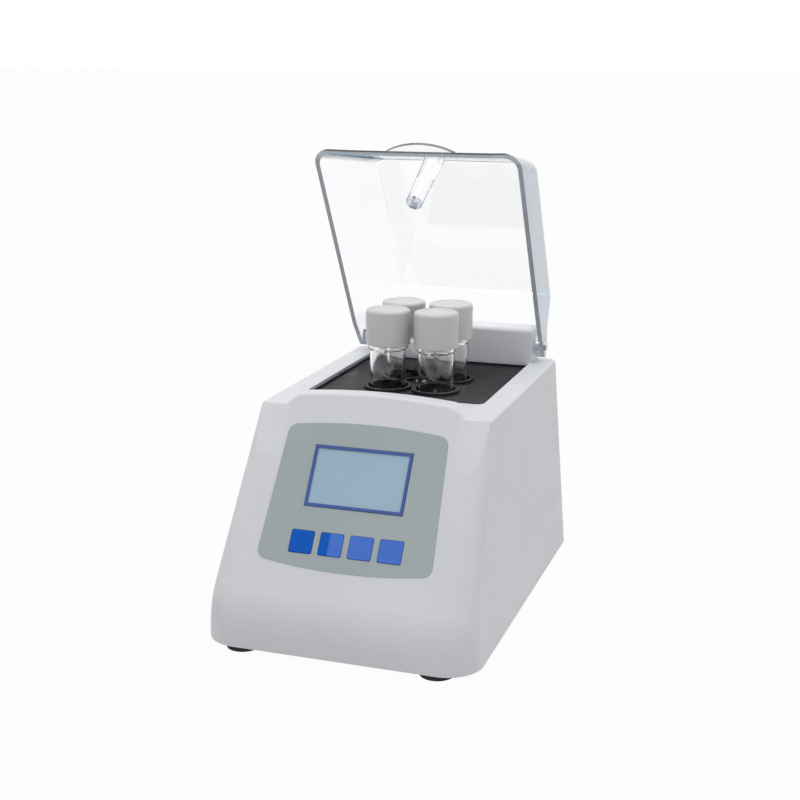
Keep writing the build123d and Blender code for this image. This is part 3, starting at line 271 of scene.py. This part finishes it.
# The edge colour of the black plastic is a painted highlight.
dress(moulded("black_plastic", (0.012, 0.012, 0.014), 0.4, edge=(0.05, 0.05, 0.055)),
      "power_inlet", "switch_body", "rocker", "thermal_cutout", "key_switches")
dress(moulded("relay_plastic", (0.03, 0.06, 0.22), 0.3), "relay")
dress(moulded("circuit_board", (0.012, 0.10, 0.04), 0.3, 500.0, 0.00002, 0.15, coat=0.4),
      "control_board", "power_board")
dress(moulded("liner_rubber", (0.55, 0.52, 0.46), 0.6, mottle=0.06),
      *[f"cap_liner_{n}" for n in range(1, 5)])
dress(metal("screw_steel", (0.62, 0.62, 0.63), 0.28), "foot_screws", "base_screws",
      "board_screws", "power_board_screws", "deck_screws", "deck_centre_screw",
      "deck_spacer", "block_supports", "hinge_block_screws", "inlet_screws", "hinge_pins")
dress(metal("display_case", (0.55, 0.55, 0.56), 0.35), "display_module")
dress(metal("standoff_brass", (0.72, 0.53, 0.24), 0.3), "board_standoffs", "power_standoffs")
dress(metal("contact_metal", (0.74, 0.73, 0.68), 0.22), "inlet_contacts")
dress(metal("block_aluminium", (0.80, 0.81, 0.82), 0.32, (900.0, 60.0, 60.0)),
      "heating_block")
dress(metal("heater_steel", (0.5, 0.5, 0.5), 0.4), "heater_plate", "temperature_sensor")
dress(metal("transformer_steel", (0.20, 0.19, 0.18), 0.5), "transformer")


def fibre_board():
    """Pressed mineral fibre: matted strands and a dusty surface."""
    s = Shader("insulation")
    strand = s.noise(260.0, 5.0, 0.7, (1.0, 1.0, 3.0), 0.6)
    s.color(s.mix(strand, (0.52, 0.49, 0.42), (0.74, 0.71, 0.64)))
    s.set(Roughness=0.95, Sheen_Weight=0.2)
    s.normal(s.bump(strand, 0.0006))
    return s.material


dress(fibre_board(), "insulation_jacket")


LID_UP = Vector((0, math.sin(OPEN_ANGLE), math.cos(OPEN_ANGLE)))  # away from its rim
LID_BACK = Vector((0, math.cos(OPEN_ANGLE), -math.sin(OPEN_ANGLE)))  # to its hinge side
TAB_HALF_WIDTH = 0.027
TAB_MIDDLE = 0.0003  # height of the finger tab's middle above the hinge
TAB_HALF = 0.0015
lid_corners = [corner.co - HINGE for corner in nodes["lid_shell"].data.vertices]
EAR_TOP = 0.014  # the lid's ears end below this height above the hinge
LID_REAR = max(corner.dot(LID_BACK) for corner in lid_corners
               if corner.dot(LID_UP) > EAR_TOP)
RIM_LEVEL = -0.0118  # the lid's rim lies below this height, the rest above
RAKED = LID_BACK - math.tan(FRONT_RAKE) * LID_UP  # follows the front wall's rake
WALL_FRONT = min(corner.dot(RAKED) for corner in lid_corners
                 if corner.dot(LID_UP) < RIM_LEVEL)


def lid_edges(s):
    """One on the lid's cut edges: rim and notch, ears, tab's rim and rear edge."""
    rise = s.along(tuple(LID_UP), tuple(HINGE))
    across = s.math("ABSOLUTE", s.along((1.0, 0.0, 0.0)))
    from_tab = s.math("ABSOLUTE", s.math("SUBTRACT", rise, TAB_MIDDLE))
    down = s.spread(s.facing(tuple(-LID_UP)), 0.0, 1.0, 0.45, 0.75)
    low = s.spread(rise, 1.0, 0.0, 0.003, 0.004)
    off_tab = s.spread(s.math("ABSOLUTE", s.math("SUBTRACT", from_tab, TAB_HALF)),
                       0.0, 1.0, 0.0001, 0.0003)
    rim = s.math("MULTIPLY", s.math("MULTIPLY", down, low), off_tab)
    upright = s.spread(s.math("ABSOLUTE", s.facing(tuple(LID_UP))), 1.0, 0.0, 0.25, 0.35)
    beside = s.spread(from_tab, 1.0, 0.0, TAB_HALF, TAB_HALF + 0.0002)
    near = s.spread(across, 1.0, 0.0, TAB_HALF_WIDTH, TAB_HALF_WIDTH + 0.0004)
    tab = s.math("MULTIPLY", s.math("MULTIPLY", upright, beside), near)
    return s.math("MAXIMUM", s.math("MAXIMUM", rim, tab), rear_edge(s))


def rear_edge(s):
    """One on the lid's free edge at its hinge side."""
    back = s.along(tuple(LID_BACK), tuple(HINGE))
    last = s.spread(back, 0.0, 1.0, LID_REAR - 0.0006, LID_REAR - 0.0003)
    above = s.spread(s.along(tuple(LID_UP), tuple(HINGE)), 0.0, 1.0, EAR_TOP - 0.002, EAR_TOP)
    return s.math("MULTIPLY", last, above)


def lid_edge_frost_and_painted_light(s):
    """Frosted blue grey on the sawn edges, with painted light and shade: the front rim
    painted pale, a painted dark line along its outer edge, the rear edge painted dark.
    """
    depth = s.along(tuple(RAKED), tuple(HINGE))
    front = s.spread(depth, 1.0, 0.0, WALL_FRONT + 0.007, WALL_FRONT + 0.010)
    outer = s.spread(depth, 1.0, 0.0, WALL_FRONT + 0.0013, WALL_FRONT + 0.0018)
    # Painted light: the front rim paler; painted shade: a dark line along its outer edge.
    color = s.mix(front, (0.42, 0.46, 0.53), (0.62, 0.72, 0.80))
    color = s.mix(outer, color, (0.09, 0.10, 0.12))
    # Painted shade: the rear edge darker.
    return s.mix(rear_edge(s), color, (0.12, 0.13, 0.15))


def clear(name, index, density, tint, side=(0.02, 0.055, 0.10), ripple=0.0, scale=30.0,
          edges=None, edge_color=None):
    """Clear solid: colour greyer where it is met at a slant, a painted dark outline; coloured
    over a long path.
    """
    s = Shader(name)
    s.set(Transmission_Weight=1.0, IOR=index)
    slant = s.node("LayerWeight", Blend=0.5).outputs["Facing"]
    # Painted shade: the colour turns to side where the surface is met at a slant, standing in
    # for the dark outlines of refraction.
    body = s.mix(s.spread(slant, 0.0, 1.0, 0.62, 0.84), (1.0, 1.0, 1.0), side)
    smooth = s.spread(s.noise(60.0, 3.0), 0.005, 0.02, 0.3, 0.7)
    if edges:
        sawn = s.spread(s.noise(500.0, 3.0), 0.85, 1.0, 0.3, 0.7)
        mask = s.math("MULTIPLY", edges(s), sawn)
        body = s.mix(mask, body, edge_color(s))
        s.link(s.spread(mask, 1.0, 0.12), s.bsdf.inputs["Transmission Weight"])
        smooth = s.math("ADD", smooth, s.spread(mask, 0.0, 0.25))
    s.color(body)
    s.rough(smooth)
    s.normal(s.bump(s.noise(scale, 2.0), ripple))
    absorb = s.node("VolumeAbsorption", Density=density)
    absorb.inputs["Color"].default_value = (*tint, 1.0)
    out = next(n for n in s.tree.nodes if n.type == "OUTPUT_MATERIAL")
    s.link(absorb.outputs["Volume"], out.inputs["Volume"])
    # Lamps shine through it
    through = s.node("BsdfTransparent")
    through.inputs["Color"].default_value = (0.93, 0.94, 0.95, 1.0)
    either = s.node("MixShader")
    path = s.tree.nodes.new("ShaderNodeLightPath")
    s.link(path.outputs["Is Shadow Ray"], either.inputs["Fac"])
    s.link(s.bsdf.outputs["BSDF"], either.inputs[1])
    s.link(through.outputs["BSDF"], either.inputs[2])
    s.link(either.outputs["Shader"], out.inputs["Surface"])
    return s.material


# The lid, post and vials all get this painted dark outline at a slant.
dress(clear("lid_plastic", 1.49, 5.0, (0.40, 0.62, 0.95), ripple=0.00001,
            edges=lid_edges, edge_color=lid_edge_frost_and_painted_light), "lid_shell")
dress(clear("post_plastic", 1.49, 2.0, (0.55, 0.70, 0.95), ripple=0.00001), "lid_post")
dress(clear("vial_glass", 1.5, 6.0, (0.5, 0.75, 0.68), (0.3, 0.32, 0.33), 0.00002, 60.0),
      *[f"vial_{n}" for n in range(1, 5)])

# ------------------------------------------------------------------ surfaces
SHARP_ANGLE = math.radians(32)
for thing in nodes.values():
    thing.data.shade_smooth()
    thing.data.set_sharp_from_angle(angle=SHARP_ANGLE)

# ------------------------------------------------------------------ stage
FLOOR_SIDE = 30  # half the floor's width, in metres
FLOOR_GLOW = 0.96  # share of white that rays see on the floor; the rest keeps its shadow
SKY = 0.77  # strength of the even light
plane = bpy.data.meshes.new("floor")
plane.from_pydata([(x * FLOOR_SIDE, y * FLOOR_SIDE, 0) for x, y in
                   ((-1, -1), (1, -1), (1, 1), (-1, 1))], [], [(0, 1, 2, 3)])
floor = bpy.data.objects.new("floor", plane)
bpy.context.collection.objects.link(floor)


def seen(tree):
    """One for rays that show the background, nought for rays that light things."""
    path = tree.nodes.new("ShaderNodeLightPath")
    total = path.outputs["Is Camera Ray"]
    for name in ("Is Glossy Ray", "Is Transmission Ray"):
        add = tree.nodes.new("ShaderNodeMath")
        add.operation = "MAXIMUM"
        tree.links.new(total, add.inputs[0])
        tree.links.new(path.outputs[name], add.inputs[1])
        total = add.outputs["Value"]
    return total


ground = Shader("floor_paper")
ground.color(ground.mix(ground.noise(3.0), (0.52, 0.52, 0.52), (0.55, 0.55, 0.55)))
ground.set(Roughness=0.9)
glow = ground.node("Emission")
glow.inputs["Color"].default_value = (1, 1, 1, 1)
blend = ground.node("MixShader")
ground.link(ground.math("MULTIPLY", seen(ground.tree), FLOOR_GLOW), blend.inputs["Fac"])
ground.link(ground.bsdf.outputs["BSDF"], blend.inputs[1])
ground.link(glow.outputs["Emission"], blend.inputs[2])
sink = next(n for n in ground.tree.nodes if n.type == "OUTPUT_MATERIAL")
ground.link(blend.outputs["Shader"], sink.inputs["Surface"])
plane.materials.append(ground.material)

world = bpy.data.worlds.new("studio")
bpy.context.scene.world = world
world.use_nodes = True
sky = world.node_tree
sky.nodes["Background"].inputs["Color"].default_value = (1, 1, 1, 1)
sky.nodes["Background"].inputs["Strength"].default_value = SKY
white = sky.nodes.new("ShaderNodeBackground")
white.inputs["Color"].default_value = (1, 1, 1, 1)
either = sky.nodes.new("ShaderNodeMixShader")
sky.links.new(seen(sky), either.inputs["Fac"])
sky.links.new(sky.nodes["Background"].outputs[0], either.inputs[1])
sky.links.new(white.outputs[0], either.inputs[2])
sky.links.new(either.outputs[0], sky.nodes["World Output"].inputs["Surface"])


def lamp(name, place, aim, size, watts):
    light = bpy.data.lights.new(name, "AREA")
    light.size = size
    light.energy = watts
    thing = bpy.data.objects.new(name, light)
    thing.location = place
    thing.rotation_euler = (Vector(aim) - Vector(place)).to_track_quat("-Z", "Y").to_euler()
    bpy.context.collection.objects.link(thing)


lamp("overhead", (0.0, 0.15, 1.5), (0, 0, 0.15), 1.1, 7.5)

SENSOR = 36.0
FOCAL, PHOTO_WIDTH = 1359.6, 800  # in pixels
AZIMUTH, ELEVATION = 18.74, 14.33
camera_data = bpy.data.cameras.new("camera")
camera_data.sensor_width = SENSOR
camera_data.lens = FOCAL / PHOTO_WIDTH * SENSOR
camera = bpy.data.objects.new("camera", camera_data)
camera.location = (0.3168, -0.7884 + FRONT, 0.3995 + FLOOR_GAP)
camera.rotation_euler = (math.radians(90 - ELEVATION), 0, math.radians(AZIMUTH))
bpy.context.collection.objects.link(camera)
bpy.context.scene.camera = camera

bpy.context.scene.view_settings.view_transform = "Standard"
